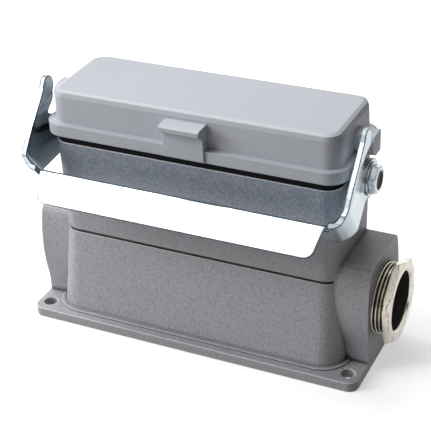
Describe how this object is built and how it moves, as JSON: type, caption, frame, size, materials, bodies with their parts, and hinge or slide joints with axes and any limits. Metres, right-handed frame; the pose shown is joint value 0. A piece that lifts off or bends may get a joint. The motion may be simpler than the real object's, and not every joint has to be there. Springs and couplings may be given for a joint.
{
  "type": "heavy duty rectangular connector",
  "caption": "Rectangular surface mounting connector housing with side cable entry, profile gasket, single locking lever, hinged protective cover and female contact insert.",
  "frame": {"origin": "middle of the mounting face under the flange", "axes": "+X towards the threaded cable entry, -Y towards the lever's handle, +Z away from the panel"},
  "size_m": [0.1442, 0.068, 0.0975],
  "materials": {
    "powder_coat": "fine grained powder coat on die cast aluminium",
    "gasket_rubber": "matt nitrile rubber",
    "bright_steel": "bright plated steel",
    "zinc_steel": "bright zinc plated steel",
    "nickel_brass": "nickel plated brass, turned",
    "insert_plastic": "moulded glass filled plastic",
    "contact_metal": "silver plated copper alloy",
    "cover_plastic": "smooth moulded plastic"
  },
  "bodies": {
    "base": {"housing": "powder_coat", "profile_gasket": "gasket_rubber", "pivot_bolt_left": "bright_steel", "pivot_bolt_right": "bright_steel", "pivot_washer_left": "bright_steel", "pivot_washer_right": "bright_steel", "hinge_pin": "bright_steel", "hinge_spring_left": "bright_steel", "hinge_spring_right": "bright_steel", "gland_screw": "nickel_brass", "gland_pressure_ring": "zinc_steel", "gland_seal": "gasket_rubber", "contact_insert": "insert_plastic", "socket_contacts": "contact_metal", "terminal_screws": "zinc_steel", "earth_plate_left": "zinc_steel", "earth_plate_right": "zinc_steel", "earth_screws": "zinc_steel", "insert_screws": "zinc_steel"},
    "lever": {"locking_lever": "zinc_steel"},
    "lid": {"cover": "cover_plastic"}
  },
  "joints": [
    {"name": "lever_pivot", "type": "hinge", "parent": "base", "child": "lever", "pos_m": [0, 0, 0.0732], "axis": [-1, 0, 0], "range_deg": [-14, 22]},
    {"name": "cover_hinge", "type": "hinge", "parent": "base", "child": "lid", "pos_m": [0, 0.0252, 0.077], "axis": [-1, 0, 0], "range_deg": [0, 100], "stiffness_Nm_per_rad": 0.02, "springref_deg": -28.65}
  ]
}
